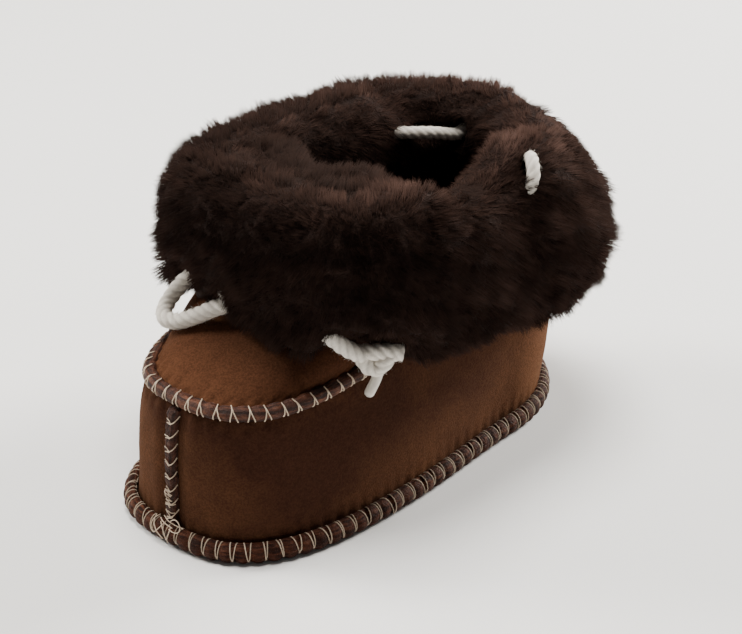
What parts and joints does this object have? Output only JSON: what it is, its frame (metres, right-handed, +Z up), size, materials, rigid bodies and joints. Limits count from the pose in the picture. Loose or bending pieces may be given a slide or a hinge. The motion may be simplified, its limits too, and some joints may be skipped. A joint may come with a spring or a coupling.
{
  "type": "sheepskin bootie",
  "caption": "Low sewn sheepskin slipper boot with suede wall and toe apron, rolled overcast seams, deep turned-down fur cuff and a cotton drawcord tied at the throat.",
  "frame": {"origin": "on the floor under the middle of the sole", "axes": "+Z up, +Y from toe to heel, +X to the wearer's left"},
  "size_m": [0.1154, 0.1708, 0.101],
  "materials": {
    "suede": "brushed suede, dull",
    "seam_leather": "smooth rolled leather, satin",
    "wool": "dense sheared wool pile",
    "cotton": "twisted cotton, matt"
  },
  "bodies": {
    "root": {"sole": "suede", "sole_welt": "seam_leather", "insole": "wool", "upper": "suede", "apron": "suede", "apron_seam": "seam_leather", "toe_seam": "seam_leather", "cuff": "wool", "collar_wool": "wool", "drawcord": "cotton", "bow_knot": "cotton", "bow_loop": "cotton", "bow_tail": "cotton", "tail_knot": "cotton", "tail_tip": "cotton"}
  },
  "joints": []
}
